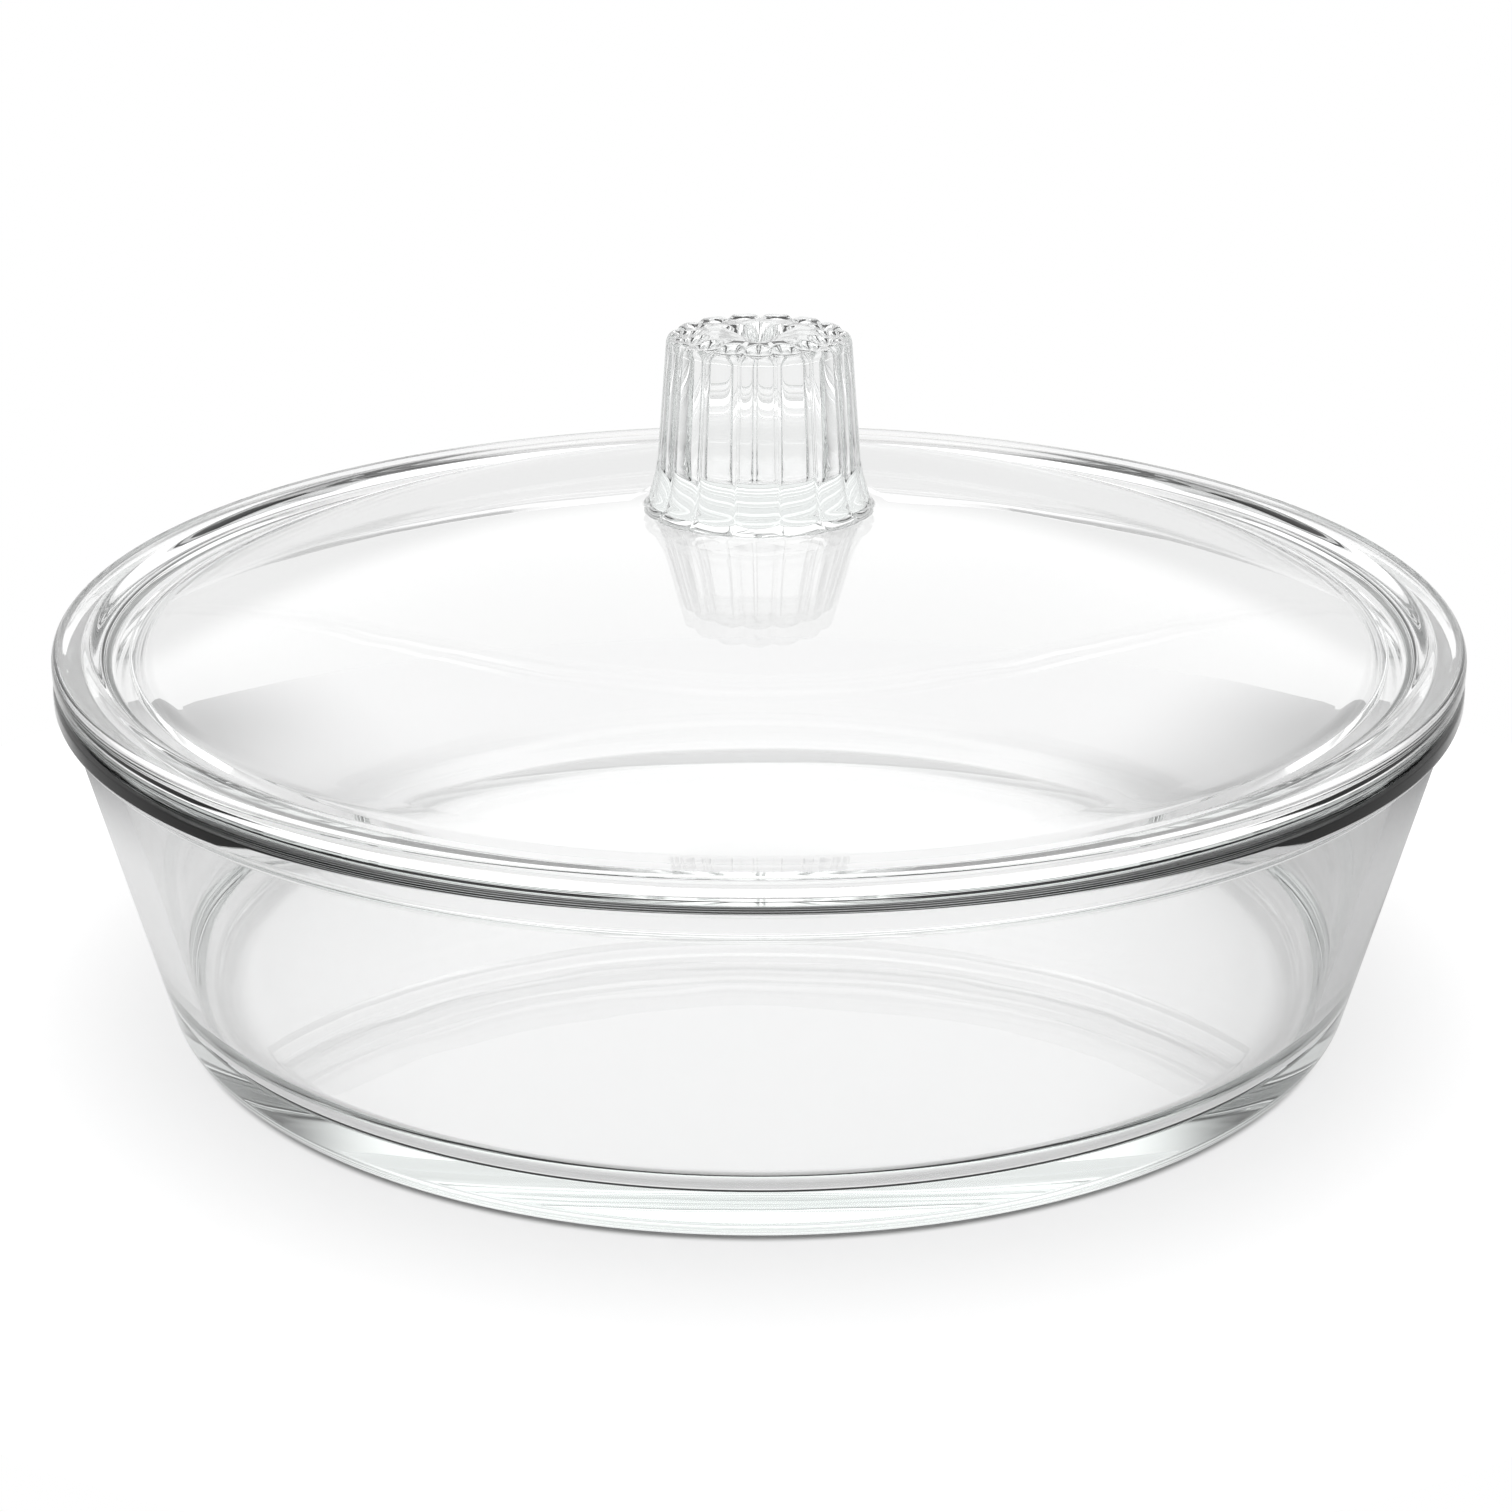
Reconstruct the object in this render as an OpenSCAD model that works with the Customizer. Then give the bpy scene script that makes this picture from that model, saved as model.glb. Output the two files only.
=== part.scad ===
// Round clear glass serving dish with a domed lid and a fluted knob.
// Millimetres, +Z up, origin at the middle of the face it stands on.

/* [Dish] */
// Outer diameter of the dish rim and of the lid
rim_d = 210; // [190:1:230]
// Height of the dish, from the table to the top of its rim
dish_h = 55; // [48:1:70]
// Thickness of the rolled rim bead
rim_t = 4; // [3.4:0.1:4.6]
// How far the rim bead stands out from the wall
rim_overhang = 2; // [1.5:0.1:3]
// Lean of the wall from the vertical, in degrees
wall_lean = 15; // [10:0.5:18]
// Thickness of the wall, measured level
wall_t = 4; // [3.5:0.1:4.4]
// Thickness of the floor
floor_t = 7; // [6:0.5:9]
// Radius where the wall turns under to the standing face
foot_round = 5; // [4:0.5:7]
// Radius where the wall meets the floor inside
bowl_round = 8; // [6:0.5:12]

/* [Lid] */
// Thickness of the flange that lies on the rim
flange_t = 4; // [3.4:0.1:4.6]
// Width of the flange's flat top
flange_w = 5; // [4:0.25:6]
// Depth of the ring-shaped trough just inside the flange
trough_depth = 1.6; // [1:0.1:2]
// Width of the trough's flat bottom
trough_w = 3; // [2:0.25:4]
// Rise of the dome's middle above the rim
dome_rise = 22; // [20:0.5:26]
// Thickness of the dome
dome_t = 4.5; // [4:0.1:5]
// Depth of the locating skirt below the rim
skirt_drop = 4; // [3:0.25:5]
// Free space round the skirt, inside the bowl
skirt_gap = 1.2; // [0.8:0.1:1.6]

/* [Knob] */
// Height of the knob above the dome's boss
knob_h = 25.5; // [20:0.5:32]
// Width over the flutes at the foot, without its flare
knob_foot_d = 31.2; // [28:0.2:36]
// Width over the flutes at the top
knob_top_d = 27.5; // [24:0.1:28]
// How far the foot flares out past the flutes
foot_flare = 1.1; // [0.8:0.1:1.5]
// Number of flutes
flutes = 15; // [12:1:18]
// Depth of the petal dimples round the top
petal_depth = 0.9; // [0.5:0.1:1.2]
// Turn of the flutes about the knob's axis, in degrees
flute_turn = 5; // [-12:1:12]

/* [Hidden] */

rim_r = rim_d / 2;
neck_drop = rim_t + 0.8;
lip_round = 1.5;
edge_round = 1.4;

// outer and inner radius of the wall at a height
function wall_out(z) = rim_r - rim_overhang - tan(wall_lean) * (dish_h - neck_drop - z);
function wall_in(z) = wall_out(z) - wall_t;

// points on an arc about c from angle a0 to a1, in n steps
function arc(c, r, a0, a1, n) =
    [for (i = [0:n]) let (a = a0 + (a1 - a0) * i / n) c + r * [cos(a), sin(a)]];

// an easy slope between two points, level at both ends
function ease(p, q, n) =
    [for (i = [0:n]) let (t = i / n) [p.x + (q.x - p.x) * t, p.y + (q.y - p.y) * (1 - cos(180 * t)) / 2]];

foot_c = [wall_out(foot_round) - foot_round / cos(wall_lean), foot_round];
bead_low = [rim_r - edge_round, dish_h - rim_t + edge_round];
bead_high = [rim_r - edge_round, dish_h - edge_round];
lip_z = dish_h - lip_round;
lip_c = [wall_in(lip_z) + lip_round / cos(wall_lean), lip_z];
bowl_z = floor_t + bowl_round;
bowl_c = [wall_in(bowl_z) - bowl_round / cos(wall_lean), bowl_z];

// the lid's heights are measured from the rim that it lies on
flange_top = dish_h + flange_t;
flange_low = [rim_r - edge_round, dish_h + edge_round];
flange_high = [rim_r - edge_round, flange_top - edge_round];
flange_in = rim_r - flange_t / 2 - flange_w + 2;
trough_z = flange_top - trough_depth;
trough_out = flange_in - 3.5;
trough_in = trough_out - trough_w;
dome_edge = trough_in - 3;
dome_edge_z = flange_top - 0.3;
dome_top = dish_h + dome_rise;

// the dome's sphere passes through its edge and its middle
dome_sag = dome_top - dome_edge_z;
dome_r = (dome_edge * dome_edge + dome_sag * dome_sag) / (2 * dome_sag);
dome_c = [0, dome_top - dome_r];
under_r = dome_r - dome_t;

skirt_out = wall_in(dish_h) - skirt_gap;
skirt_tip = skirt_out - 1.6;
skirt_in = skirt_tip - 4;
skirt_z = dish_h - skirt_drop;
tip_round = 1.5;
under_edge = skirt_in - 1.5;

boss_r = knob_foot_d / 2 + foot_flare + 0.5;
boss_z = dome_top + 0.1;
knob_top = boss_z + knob_h;
foot_h = 5;

// a flute is a leaning cone: its middle and its radius shrink together
flute_share = 0.26;
foot_flute = knob_foot_d / 2 * flute_share;
top_flute = knob_top_d / 2 * flute_share;
foot_mid = knob_foot_d / 2 - foot_flute;
top_mid = knob_top_d / 2 - top_flute;
flute_lean = atan((foot_mid - top_mid) / knob_h);
petal_r = 3;
petal_mid = top_mid + 0.5;
star_r = 6.6;
star_depth = 1.1;

module dish() {
    color([0.86, 0.91, 0.89, 0.45])
    rotate_extrude($fn = 180)
    polygon(concat(
        [[0, 0]],
        arc(foot_c, foot_round, -90, -wall_lean, 6),
        [[wall_out(dish_h - neck_drop), dish_h - neck_drop]],
        arc(bead_low, edge_round, -60, 0, 4),
        arc(bead_high, edge_round, 0, 90, 5),
        arc(lip_c, lip_round, 90, 180 - wall_lean, 5),
        arc(bowl_c, bowl_round, -wall_lean, -90, 6),
        [[0, floor_t]]
    ));
}

module lid() {
    under_a = acos(under_edge / under_r);
    dome_a = acos(dome_edge / dome_r);
    color([0.90, 0.94, 0.93, 0.45]) {
        rotate_extrude($fn = 180)
        polygon(concat(
            arc(dome_c, under_r, 90, under_a, 16),
            [[skirt_in, skirt_z + 0.6]],
            arc([skirt_tip - tip_round, skirt_z + tip_round], tip_round, -90, -10, 4),
            [[skirt_out, dish_h]],
            arc(flange_low, edge_round, -90, 0, 5),
            arc(flange_high, edge_round, 0, 90, 5),
            ease([flange_in, flange_top], [trough_out, trough_z], 6),
            [[trough_in, trough_z]],
            arc(dome_c, dome_r, dome_a, 90, 16)
        ));
        translate([0, 0, boss_z - 2])
        cylinder(h = 2, r = boss_r, $fn = 120);
    }
}

// one flute, standing on the boss and leaning towards the axis
module flute() {
    spare = 1;
    translate([foot_mid, 0, boss_z])
    rotate([0, -flute_lean, 0])
    translate([0, 0, -spare])
    cylinder(h = knob_h + 2 * spare, r1 = foot_flute, r2 = top_flute, $fn = 48);
}

module knob() {
    core_gap = 1.7;
    color([0.93, 0.95, 0.96, 0.6])
    rotate(flute_turn)
    difference() {
        union() {
            intersection() {
                union() {
                    for (i = [0:flutes - 1])
                        rotate(360 / flutes * i)
                        flute();
                    translate([0, 0, boss_z])
                    cylinder(
                        h = knob_h,
                        r1 = foot_mid + core_gap,
                        r2 = top_mid + core_gap,
                        $fn = 90
                    );
                }
                translate([0, 0, boss_z])
                cylinder(h = knob_h, r = knob_foot_d, $fn = 90);
            }
            translate([0, 0, boss_z])
            cylinder(
                h = foot_h,
                r1 = knob_foot_d / 2 + foot_flare,
                r2 = knob_foot_d / 2 - 1,
                $fn = 90
            );
        }
        for (i = [0:flutes - 1])
            rotate(360 / flutes * i)
            translate([petal_mid, 0, knob_top + petal_r - petal_depth])
            sphere(r = petal_r, $fn = 48);
        translate([0, 0, knob_top - star_depth])
        cylinder(h = 2 * star_depth, r1 = star_r - 2, r2 = star_r + 2, $fn = 90);
    }
}

dish();
lid();
knob();
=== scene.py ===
"""The looks of a covered round glass dish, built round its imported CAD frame.

Metres, +Z up; -Y is the front.
"""

import math

import bpy
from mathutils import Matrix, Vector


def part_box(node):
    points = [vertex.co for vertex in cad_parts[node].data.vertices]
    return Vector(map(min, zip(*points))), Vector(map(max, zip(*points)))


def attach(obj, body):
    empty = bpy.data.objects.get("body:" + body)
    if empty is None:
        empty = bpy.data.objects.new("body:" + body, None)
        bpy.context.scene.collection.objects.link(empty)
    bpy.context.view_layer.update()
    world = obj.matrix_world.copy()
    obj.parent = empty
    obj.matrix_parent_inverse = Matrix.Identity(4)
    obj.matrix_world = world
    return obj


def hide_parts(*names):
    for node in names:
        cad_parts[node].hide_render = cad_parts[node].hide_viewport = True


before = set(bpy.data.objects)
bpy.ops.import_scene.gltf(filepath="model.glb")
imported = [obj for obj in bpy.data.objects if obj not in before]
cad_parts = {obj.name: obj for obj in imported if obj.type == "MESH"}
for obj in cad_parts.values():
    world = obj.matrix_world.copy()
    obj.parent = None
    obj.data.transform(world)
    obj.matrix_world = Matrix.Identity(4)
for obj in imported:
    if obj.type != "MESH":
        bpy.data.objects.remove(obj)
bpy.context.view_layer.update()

MM = 0.001
dish_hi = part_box("dish")[1]
knob_lo, knob_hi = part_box("knob")

# ---- sizes from the frame ----
DISH_H = dish_hi.z
RIM_R = round(dish_hi.x, 3)
BOSS_Z = knob_lo.z
KNOB_TOP = knob_hi.z
BOSS_RISE = 0.1 * MM
DOME_TOP = BOSS_Z - BOSS_RISE

# ---- details of the dish ----
WALL_LEAN = math.radians(15)
RIM_T = 4 * MM
OVERHANG = 2 * MM
WALL_T = 4 * MM
FLOOR_T = 7 * MM
FOOT_ROUND = 5 * MM
BOWL_ROUND = 8 * MM
LIP_ROUND = 1.5 * MM
NECK_DROP = RIM_T + 0.8 * MM
NECK_GAP = 0.4 * MM

# ---- the same on the dish's rim and the lid's flange ----
EDGE_ROUND = 1.4 * MM

# ---- details of the lid ----
SEAT_GAP = 0.15 * MM
FLANGE_T = 4 * MM
FLANGE_W = 5 * MM
TROUGH_DEPTH = 1.6 * MM
TROUGH_W = 3 * MM
DOME_T = 4.5 * MM
EDGE_DIP = 0.3 * MM
TROUGH_OUT_SLOPE = 3.5 * MM
TROUGH_IN_SLOPE = 3 * MM
SKIRT_GAP = 1.2 * MM
SKIRT_DROP = 4 * MM
SKIRT_LEAN = 1.6 * MM
SKIRT_W = 4 * MM
SKIRT_SLOPE = 0.6 * MM
SKIRT_INSET = 1.5 * MM
TIP_ROUND = 1.5 * MM

# ---- details of the knob ----
FLUTES = 15
FLUTE_STEP = 2 * math.pi / FLUTES
FLUTE_TURN = math.radians(5)
FLUTE_DEPTH = 0.95 * MM
FLUTE_CURVE = 0.96
KNOB_FOOT_R = 15.6 * MM
KNOB_TOP_R = 13.75 * MM
SHOULDER = 2 * MM
FLARE = 1.1 * MM
FLARE_H = 7 * MM
FILLET = 0.9 * MM
FLUTE_TOP_R = 13 * MM
FLUTE_END_R = 10.8 * MM
NOTCH_DEPTH = 0.9 * MM
NOTCH_R = 11.5 * MM
PETAL_MID = 10.5 * MM
PETAL_ACROSS = 2.3 * MM
PETAL_ALONG = 2.7 * MM
PETAL_DEPTH = 1.1 * MM
STAR_R = 6.6 * MM
STAR_DEPTH = 1.8 * MM
STAR_STEP = math.pi / 3

# ---- steps round a revolved mesh ----
TURNS = 360

# ---- the floor: reaches from the dish's axis in metres, and levels as shares of white ----
FLOOR_R = 0.17
FLOOR_SIDES = 96
FLOOR_DROP = 0.05 * MM
# as the camera sees it: a painted soft shade round the dish, and a painted dark contact shadow under its edge
SHADE_REACH, SHADE_LEVELS = (0.070, 0.15), (0.70, 0.99)
EDGE_SHADOW_REACH, EDGE_SHADOW_LEVEL = (0.0873, 0.0890), 0.12
# as the glass sees it: pale under the dish, darker out to the sides, with a painted contact-shadow ring where
# the dish stands
PALE_LEVEL = 0.74
AWAY_REACH, FAR_REACH, FAR_LEVEL = (0.066, 0.105), (0.12, 0.165), 0.70
FLANK_SHARE, FLANK_FAR_LEVEL = (0.48, 0.80), 0.06
FLANK_NEAR_SHARE, FLANK_NEAR_LEVELS = (-0.6, 0.6), (0.60, 0.40)
CONTACT_SHADE_IN_REACH, CONTACT_SHADE_OUT_REACH, CONTACT_SHADE_LEVEL = (0.078, 0.082), (0.086, 0.090), 0.48

# ---- the room, as the glass sees it: bearings as the Y of a level direction, heights in degrees ----
BACK_BEARING, FRONT_BEARING = (0.68, 0.93), (-0.72, -0.42)
UNDER_BACK, UNDER_FRONT, UNDER_SIDE = 0.90, 0.9, 0.45
HORIZON_HEIGHT, HORIZON_BACK, HORIZON_SIDE = (-9, -6), 0.85, 0.65
ROOM_HEIGHT, ROOM_BACK, ROOM_FRONT, ROOM_SIDE = (12, 19), 1.3, 0.8, 0.04
LAMP_HEIGHT, LAMP_LEVEL = (48, 62), 1.9
ZENITH_HEIGHT, ZENITH_LEVEL = (65, 71), 0.7

# ---- the camera: distances in rim radii ----
CAMERA_AWAY = 5.20
CAMERA_ABOVE_RIM = 1.779
CAMERA_DIP = math.radians(20.634)
SENSOR_W = 36
LENS = 91.095
SHIFT_X = -0.002


def arc(cx, cz, r, a0, a1, n):
    """n + 1 points on an arc, with its angles in degrees."""
    steps = [math.radians(a0 + (a1 - a0) * i / n) for i in range(n + 1)]
    return [(cx + r * math.cos(a), cz + r * math.sin(a)) for a in steps]


def line(p, q, n, hold):
    """Points between p and q, with one close to each end so that the shading stays flat between them."""
    shares = [hold] + [i / n for i in range(1, n)] + [1 - hold]
    return [(p[0] + (q[0] - p[0]) * t, p[1] + (q[1] - p[1]) * t) for t in shares]


def ease(p, q, n):
    """Points on an easy slope from p to q, level at both ends."""
    return [
        (p[0] + (q[0] - p[0]) * i / n, p[1] + (q[1] - p[1]) * (1 - math.cos(math.pi * i / n)) / 2)
        for i in range(n + 1)
    ]


def wall_out(z):
    """The outer radius of the dish's wall at a height."""
    return RIM_R - OVERHANG - math.tan(WALL_LEAN) * (DISH_H - NECK_DROP - z)


def wall_in(z):
    """The inner radius of the dish's wall at a height."""
    return wall_out(z) - WALL_T


def joined(*runs):
    """One outline from several runs of points. A wide gap between two runs gets a straight run of points."""
    touching, wide, step, hold = 0.001 * MM, 1.5 * MM, 4 * MM, 0.25 * MM
    out = list(runs[0])
    for run in runs[1:]:
        gap = math.dist(out[-1], run[0])
        if gap > wide:
            out += line(out[-1], run[0], max(2, round(gap / step)), min(0.2, hold / gap))
        if gap < touching:
            run = run[1:]
        out += run
    return out


def revolve(name, outline, shape=None):
    """A closed smooth mesh: an outline of (radius, height) points turned about Z, from axis to axis.

    shape(k, r, z, a), if given, moves point k of the outline at the angle a.
    """
    verts = [(0, 0, outline[0][1])]
    for k, (r, z) in enumerate(outline[1:-1], 1):
        for j in range(TURNS):
            a = 2 * math.pi * j / TURNS
            rr, zz = shape(k, r, z, a) if shape else (r, z)
            verts.append((rr * math.cos(a), rr * math.sin(a), zz))
    end_z = outline[-1][1]
    verts.append((0, 0, shape(len(outline) - 1, 0, end_z, 0)[1] if shape else end_z))
    last = len(verts) - 1
    rings = len(outline) - 2
    at = lambda k, j: 1 + k * TURNS + j % TURNS
    faces = [(0, at(0, j + 1), at(0, j)) for j in range(TURNS)]
    for k in range(rings - 1):
        faces += [(at(k, j), at(k, j + 1), at(k + 1, j + 1), at(k + 1, j)) for j in range(TURNS)]
    faces += [(last, at(rings - 1, j), at(rings - 1, j + 1)) for j in range(TURNS)]
    mesh = bpy.data.meshes.new(name)
    mesh.from_pydata(verts, [], faces)
    mesh.validate()
    mesh.polygons.foreach_set("use_smooth", [True] * len(mesh.polygons))
    piece = bpy.data.objects.new(name, mesh)
    bpy.context.scene.collection.objects.link(piece)
    return piece


# ---- material ----
def glass(name):
    """Clear pressed glass: a faint green-grey tint that deepens with thickness, and a soft waviness."""
    mat = bpy.data.materials.new(name)
    mat.use_nodes = True
    nt = mat.node_tree
    nt.nodes.clear()
    out = nt.nodes.new("ShaderNodeOutputMaterial")
    skin = nt.nodes.new("ShaderNodeBsdfPrincipled")
    skin.inputs["Base Color"].default_value = (1, 1, 1, 1)
    skin.inputs["Roughness"].default_value = 0.0
    skin.inputs["IOR"].default_value = 1.52
    skin.inputs["Transmission Weight"].default_value = 1.0
    place = nt.nodes.new("ShaderNodeTexCoord")
    waves = nt.nodes.new("ShaderNodeTexNoise")
    waves.inputs["Scale"].default_value = 26.0
    waves.inputs["Detail"].default_value = 1.5
    nt.links.new(place.outputs["Object"], waves.inputs["Vector"])
    bump = nt.nodes.new("ShaderNodeBump")
    bump.inputs["Strength"].default_value = 1.0
    bump.inputs["Distance"].default_value = 0.05 * MM
    nt.links.new(waves.outputs["Fac"], bump.inputs["Height"])
    nt.links.new(bump.outputs["Normal"], skin.inputs["Normal"])
    inside = nt.nodes.new("ShaderNodeVolumeAbsorption")
    inside.inputs["Color"].default_value = (0.80, 0.90, 0.86, 1)
    inside.inputs["Density"].default_value = 2.2
    nt.links.new(skin.outputs["BSDF"], out.inputs["Surface"])
    nt.links.new(inside.outputs["Volume"], out.inputs["Volume"])
    return mat


clear_glass = glass("clear_glass")


# ---- dish ----
def dish_outline():
    """The dish's section: standing face, foot, wall, rim, inner wall and floor."""
    lean = math.degrees(WALL_LEAN)
    foot_r = wall_out(FOOT_ROUND) - FOOT_ROUND / math.cos(WALL_LEAN)
    lip_z = DISH_H - LIP_ROUND
    lip_r = wall_in(lip_z) + LIP_ROUND / math.cos(WALL_LEAN)
    bowl_z = FLOOR_T + BOWL_ROUND
    bowl_r = wall_in(bowl_z) - BOWL_ROUND / math.cos(WALL_LEAN)
    neck_z = DISH_H - NECK_DROP - NECK_GAP
    return joined(
        [(0, 0)],
        arc(foot_r, FOOT_ROUND, FOOT_ROUND, -90, -lean, 14),
        [(wall_out(neck_z), neck_z)],
        arc(RIM_R - EDGE_ROUND, DISH_H - RIM_T + EDGE_ROUND, EDGE_ROUND, -70, 0, 10),
        arc(RIM_R - EDGE_ROUND, DISH_H - EDGE_ROUND, EDGE_ROUND, 0, 90, 12),
        arc(lip_r, lip_z, LIP_ROUND, 90, 180 - lean, 12),
        arc(bowl_r, bowl_z, BOWL_ROUND, -lean, -90, 18),
        [(0, FLOOR_T)],
    )


def dish():
    """The dish as one piece of glass."""
    piece = revolve("dish_glass", dish_outline())
    piece.data.materials.append(clear_glass)
    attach(piece, "dish")
    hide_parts("dish")


# ---- lid with its knob ----
def lid_outline():
    """The lid's section from under the dome to the knob's foot, with that foot's radius and height."""
    seat = DISH_H + SEAT_GAP
    flange_top = seat + FLANGE_T
    flange_in = RIM_R - FLANGE_W
    trough_z = flange_top - TROUGH_DEPTH
    trough_out = flange_in - TROUGH_OUT_SLOPE
    trough_in = trough_out - TROUGH_W
    dome_edge = trough_in - TROUGH_IN_SLOPE
    dome_edge_z = flange_top - EDGE_DIP
    sag = DOME_TOP - dome_edge_z
    dome_r = (dome_edge**2 + sag**2) / (2 * sag)
    dome_z = DOME_TOP - dome_r
    under_r = dome_r - DOME_T
    skirt_out = wall_in(DISH_H) - SKIRT_GAP
    skirt_tip = skirt_out - SKIRT_LEAN
    skirt_in = skirt_tip - SKIRT_W
    skirt_z = DISH_H - SKIRT_DROP
    under_edge = skirt_in - SKIRT_INSET
    under_a = math.degrees(math.acos(under_edge / under_r))
    dome_a = math.degrees(math.acos(dome_edge / dome_r))
    foot_r = KNOB_FOOT_R + FLARE + FILLET
    foot_a = math.degrees(math.acos(foot_r / dome_r))
    lid = joined(
        arc(0, dome_z, under_r, 90, under_a, 30),
        [(skirt_in, skirt_z + SKIRT_SLOPE)],
        arc(skirt_tip - TIP_ROUND, skirt_z + TIP_ROUND, TIP_ROUND, -90, -10, 10),
        [(skirt_out, seat)],
        arc(RIM_R - EDGE_ROUND, seat + EDGE_ROUND, EDGE_ROUND, -90, 0, 12),
        arc(RIM_R - EDGE_ROUND, flange_top - EDGE_ROUND, EDGE_ROUND, 0, 90, 12),
        ease((flange_in, flange_top), (trough_out, trough_z), 12),
        [(trough_in, trough_z)],
        arc(0, dome_z, dome_r, dome_a, foot_a, 40),
    )
    return lid, foot_r, dome_z + dome_r * math.sin(math.radians(foot_a))


def knob_side(h):
    """The knob's outer radius at a height above the lid: a slight lean that flares out to the foot."""
    lean_in = KNOB_FOOT_R + (KNOB_TOP_R - KNOB_FOOT_R) * h / (KNOB_TOP - BOSS_Z - SHOULDER)
    return lean_in + FLARE * max(0, 1 - h / FLARE_H) ** 2


def within(angle, step):
    """The angle from the middle of its own step, when a full turn is cut into equal steps."""
    return (angle + step / 2) % step - step / 2


def lid():
    """The lid and its knob as one piece of glass, with the knob's flutes, petals and star in its shape."""
    outline, foot_r, foot_z = lid_outline()
    plain = len(outline)
    foot_rings, side_rings, crown_rings, top_rings = 9, 32, 12, 28
    side_high = KNOB_TOP - BOSS_Z - SHOULDER
    foot_side = knob_side(FILLET)
    turns = [math.radians(90 * i / (foot_rings + 1)) for i in range(1, foot_rings + 1)]
    foot = [
        (
            foot_side + (foot_r - foot_side) * (1 - math.sin(t)),
            foot_z + (BOSS_Z + FILLET - foot_z) * (1 - math.cos(t)),
        )
        for t in turns
    ]
    heights = [FILLET + (side_high - FILLET) * i / side_rings for i in range(side_rings + 1)]
    side = [(knob_side(h), BOSS_Z + h) for h in heights]
    top_r = KNOB_TOP_R - SHOULDER
    crown = arc(top_r, BOSS_Z + side_high, SHOULDER, 0, 90, crown_rings)[1:]
    top = [(top_r * (1 - i / top_rings), KNOB_TOP) for i in range(1, top_rings)]
    outline += foot + side + crown + top + [(0, KNOB_TOP)]
    crown_from = plain + len(foot) + len(side)

    def shape(k, r, z, a):
        """Presses the flutes into the knob's side, and notches, petals and a star into its top."""
        if k < plain:
            return r, z
        on_top = k >= crown_from
        phi = within(a - FLUTE_TURN, FLUTE_STEP)
        u = phi / (FLUTE_STEP / 2)
        groove = (1 - math.sqrt(1 - FLUTE_CURVE * u * u)) / (1 - math.sqrt(1 - FLUTE_CURVE))
        rise = min(1, (k - plain + 1) / foot_rings)
        fade = min(1, max(0, (r - FLUTE_END_R) / (FLUTE_TOP_R - FLUTE_END_R))) if on_top else 1
        dip = FLUTE_DEPTH * groove * rise * fade**2
        if on_top:
            lift = (z - KNOB_TOP + SHOULDER) / SHOULDER
            notch = u * u * lift * min(1, r / NOTCH_R) ** 4
            across = r * math.sin(phi) / PETAL_ACROSS
            along = (r - PETAL_MID) / PETAL_ALONG
            petal = max(0, 1 - across**2 - along**2)
            flat = STAR_R * math.cos(STAR_STEP / 2)
            star = max(0, 1 - r * math.cos(within(a, STAR_STEP)) / flat)
            z -= NOTCH_DEPTH * notch + PETAL_DEPTH * petal + STAR_DEPTH * star
        return r - dip, z

    piece = revolve("lid_glass", outline, shape)
    piece.data.materials.append(clear_glass)
    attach(piece, "lid")
    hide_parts("lid", "knob")


# ---- stage, light and camera ----
def by_range(nt, source, low, high, v0=0.0, v1=1.0):
    """A value that goes smoothly from v0 to v1 as the source goes from low to high."""
    node = nt.nodes.new("ShaderNodeMapRange")
    node.interpolation_type = "SMOOTHSTEP"
    nt.links.new(source, node.inputs["Value"])
    node.inputs["From Min"].default_value = low
    node.inputs["From Max"].default_value = high
    node.inputs["To Min"].default_value = v0
    node.inputs["To Max"].default_value = v1
    return node.outputs[0]


def mixed(nt, share, a, b):
    """A value that goes from a to b as the share goes from 0 to 1. Each is a number or a socket."""
    node = nt.nodes.new("ShaderNodeMix")
    nt.links.new(share, node.inputs[0])
    for k, v in ((2, a), (3, b)):
        if isinstance(v, float):
            node.inputs[k].default_value = v
        else:
            nt.links.new(v, node.inputs[k])
    return node.outputs[0]


def for_camera(nt, others, camera_level):
    """One value for rays straight from the camera, and another for rays that met the glass first."""
    path = nt.nodes.new("ShaderNodeLightPath")
    return mixed(nt, path.outputs["Is Camera Ray"], others, camera_level)


def operation(nt, kind, name, *sources):
    """A math node of a kind, with its sources linked in order."""
    node = nt.nodes.new(kind)
    node.operation = name
    for k, source in enumerate(sources):
        nt.links.new(source, node.inputs[k])
    return node


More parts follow.
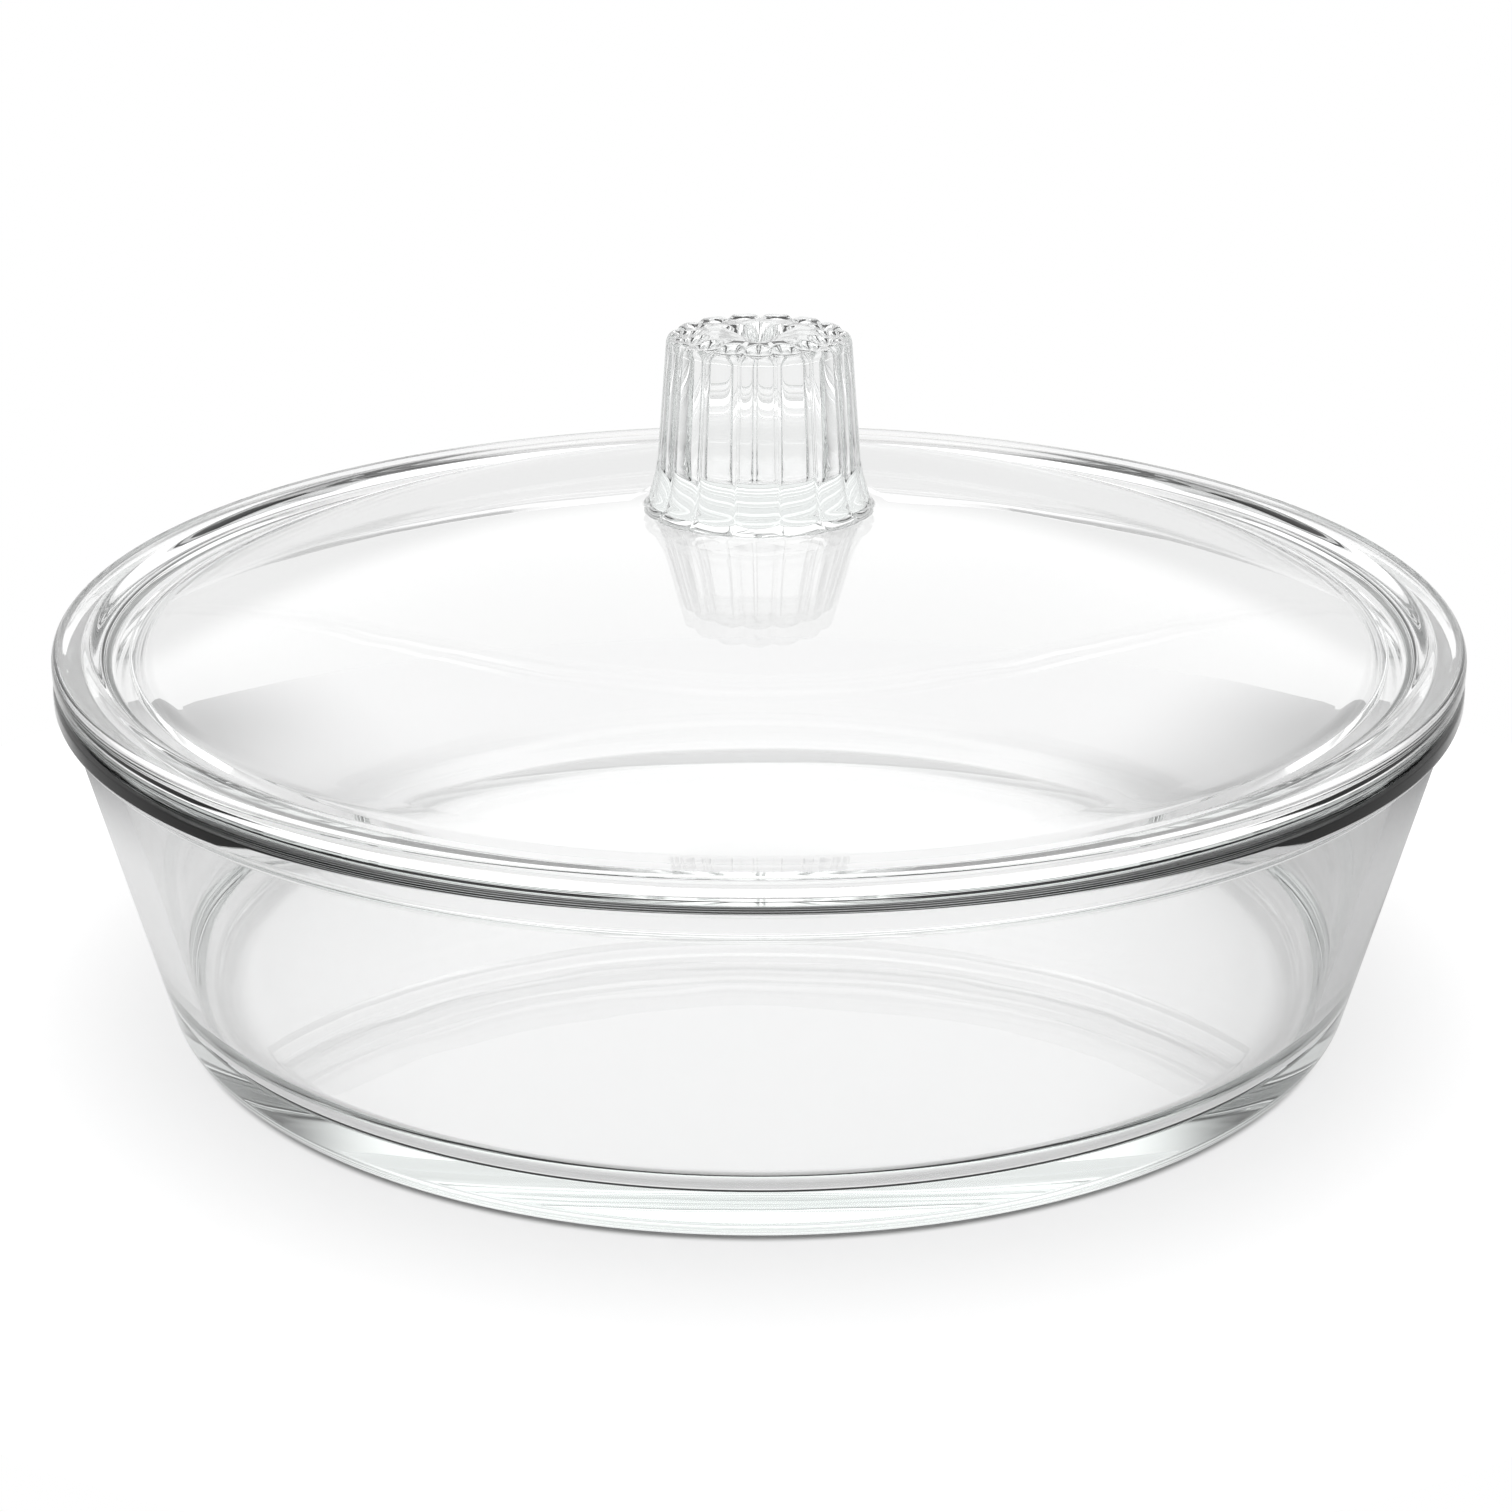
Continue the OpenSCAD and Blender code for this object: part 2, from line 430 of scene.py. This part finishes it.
def stage():
    """A round white floor that glows. Its painted shade, painted contact-shadow ring and painted dark shadow
    line under the dish's edge are set in its glow by the distance from the axis.
    """
    mesh = bpy.data.meshes.new("floor")
    around = [2 * math.pi * i / FLOOR_SIDES for i in range(FLOOR_SIDES)]
    ring = [(FLOOR_R * math.cos(a), FLOOR_R * math.sin(a), 0) for a in around]
    mesh.from_pydata(ring, [], [tuple(range(FLOOR_SIDES))])
    floor = bpy.data.objects.new("floor", mesh)
    bpy.context.scene.collection.objects.link(floor)
    floor.location.z = -FLOOR_DROP
    mat = bpy.data.materials.new("floor_white")
    mat.use_nodes = True
    nt = mat.node_tree
    skin = nt.nodes["Principled BSDF"]
    skin.inputs["Base Color"].default_value = (0.24, 0.24, 0.243, 1)
    skin.inputs["Roughness"].default_value = 1.0
    skin.inputs["Specular IOR Level"].default_value = 0.0
    skin.inputs["Emission Color"].default_value = (1, 1, 1, 1)
    place = nt.nodes.new("ShaderNodeTexCoord").outputs["Object"]
    reach = operation(nt, "ShaderNodeVectorMath", "LENGTH", place).outputs["Value"]
    split = nt.nodes.new("ShaderNodeSeparateXYZ")
    nt.links.new(place, split.inputs[0])
    # how far a point lies to the right, as a share of its reach, and the same without its sign
    share = operation(nt, "ShaderNodeMath", "DIVIDE", split.outputs["X"], reach).outputs[0]
    aside = operation(nt, "ShaderNodeMath", "ABSOLUTE", share).outputs[0]

    # painted for the camera's own rays: a soft shade round the dish and a dark contact shadow under its edge
    shade = by_range(nt, reach, *SHADE_REACH, *SHADE_LEVELS)
    direct = mixed(nt, by_range(nt, reach, *EDGE_SHADOW_REACH), EDGE_SHADOW_LEVEL, shade)

    away = by_range(nt, reach, *AWAY_REACH)
    far = by_range(nt, reach, *FAR_REACH)
    flank = by_range(nt, aside, *FLANK_SHARE)
    flank_near = by_range(nt, share, *FLANK_NEAR_SHARE, *FLANK_NEAR_LEVELS)
    middle_level = mixed(nt, far, PALE_LEVEL, FAR_LEVEL)
    flank_level = mixed(nt, far, flank_near, FLANK_FAR_LEVEL)
    open_level = mixed(nt, away, PALE_LEVEL, mixed(nt, flank, middle_level, flank_level))
    # painted for rays that met the glass: a darker contact-shadow ring on the floor where the dish stands
    contact_shade_in = by_range(nt, reach, *CONTACT_SHADE_IN_REACH)
    contact_shade_out = by_range(nt, reach, *CONTACT_SHADE_OUT_REACH, 1.0, 0.0)
    through = mixed(nt, mixed(nt, contact_shade_in, 0.0, contact_shade_out), open_level, CONTACT_SHADE_LEVEL)

    nt.links.new(for_camera(nt, through, direct), skin.inputs["Emission Strength"])
    mesh.materials.append(mat)


def light():
    """A studio all round: plain white to the camera itself.

    The glass sees it bright behind and overhead, dark at the sides, and paler near and below the horizon.
    """
    world = bpy.data.worlds.new("studio")
    bpy.context.scene.world = world
    world.use_nodes = True
    nt = world.node_tree
    back = nt.nodes["Background"]
    split = nt.nodes.new("ShaderNodeSeparateXYZ")
    nt.links.new(nt.nodes.new("ShaderNodeTexCoord").outputs["Generated"], split.inputs[0])
    flat = nt.nodes.new("ShaderNodeCombineXYZ")
    nt.links.new(split.outputs["X"], flat.inputs["X"])
    nt.links.new(split.outputs["Y"], flat.inputs["Y"])
    unit = operation(nt, "ShaderNodeVectorMath", "NORMALIZE", flat.outputs[0])
    around = nt.nodes.new("ShaderNodeSeparateXYZ")
    nt.links.new(unit.outputs[0], around.inputs[0])
    bearing = around.outputs["Y"]

    def above(height):
        """The share that goes from 0 to 1 between two heights in degrees."""
        return by_range(nt, split.outputs["Z"], *[math.sin(math.radians(h)) for h in height])

    behind = by_range(nt, bearing, *BACK_BEARING)
    before = by_range(nt, bearing, *FRONT_BEARING, 1.0, 0.0)
    under = mixed(nt, behind, mixed(nt, before, UNDER_SIDE, UNDER_FRONT), UNDER_BACK)
    horizon = mixed(nt, behind, HORIZON_SIDE, HORIZON_BACK)
    room = mixed(nt, behind, mixed(nt, before, ROOM_SIDE, ROOM_FRONT), ROOM_BACK)
    level = mixed(nt, above(HORIZON_HEIGHT), under, horizon)
    level = mixed(nt, above(ROOM_HEIGHT), level, room)
    lamp = mixed(nt, above(ZENITH_HEIGHT), LAMP_LEVEL, ZENITH_LEVEL)
    level = mixed(nt, above(LAMP_HEIGHT), level, lamp)
    nt.links.new(for_camera(nt, level, 1.0), back.inputs["Strength"])
    back.inputs["Color"].default_value = (1, 1, 1, 1)


def camera():
    """A long lens, from the front and a little above."""
    data = bpy.data.cameras.new("camera")
    data.sensor_width = SENSOR_W
    data.lens = LENS
    data.clip_start = 0.01
    data.shift_x = SHIFT_X
    cam = bpy.data.objects.new("camera", data)
    bpy.context.scene.collection.objects.link(cam)
    cam.location = (0, -CAMERA_AWAY * RIM_R, DISH_H + CAMERA_ABOVE_RIM * RIM_R)
    cam.rotation_euler = (math.pi / 2 - CAMERA_DIP, 0, 0)
    bpy.context.scene.camera = cam


camera()
light()
stage()
dish()
lid()

scene = bpy.context.scene
scene.view_settings.view_transform = "Standard"
scene.view_settings.look = "None"
scene.cycles.max_bounces = 24
scene.cycles.transmission_bounces = 24
scene.cycles.glossy_bounces = 16
scene.cycles.diffuse_bounces = 4
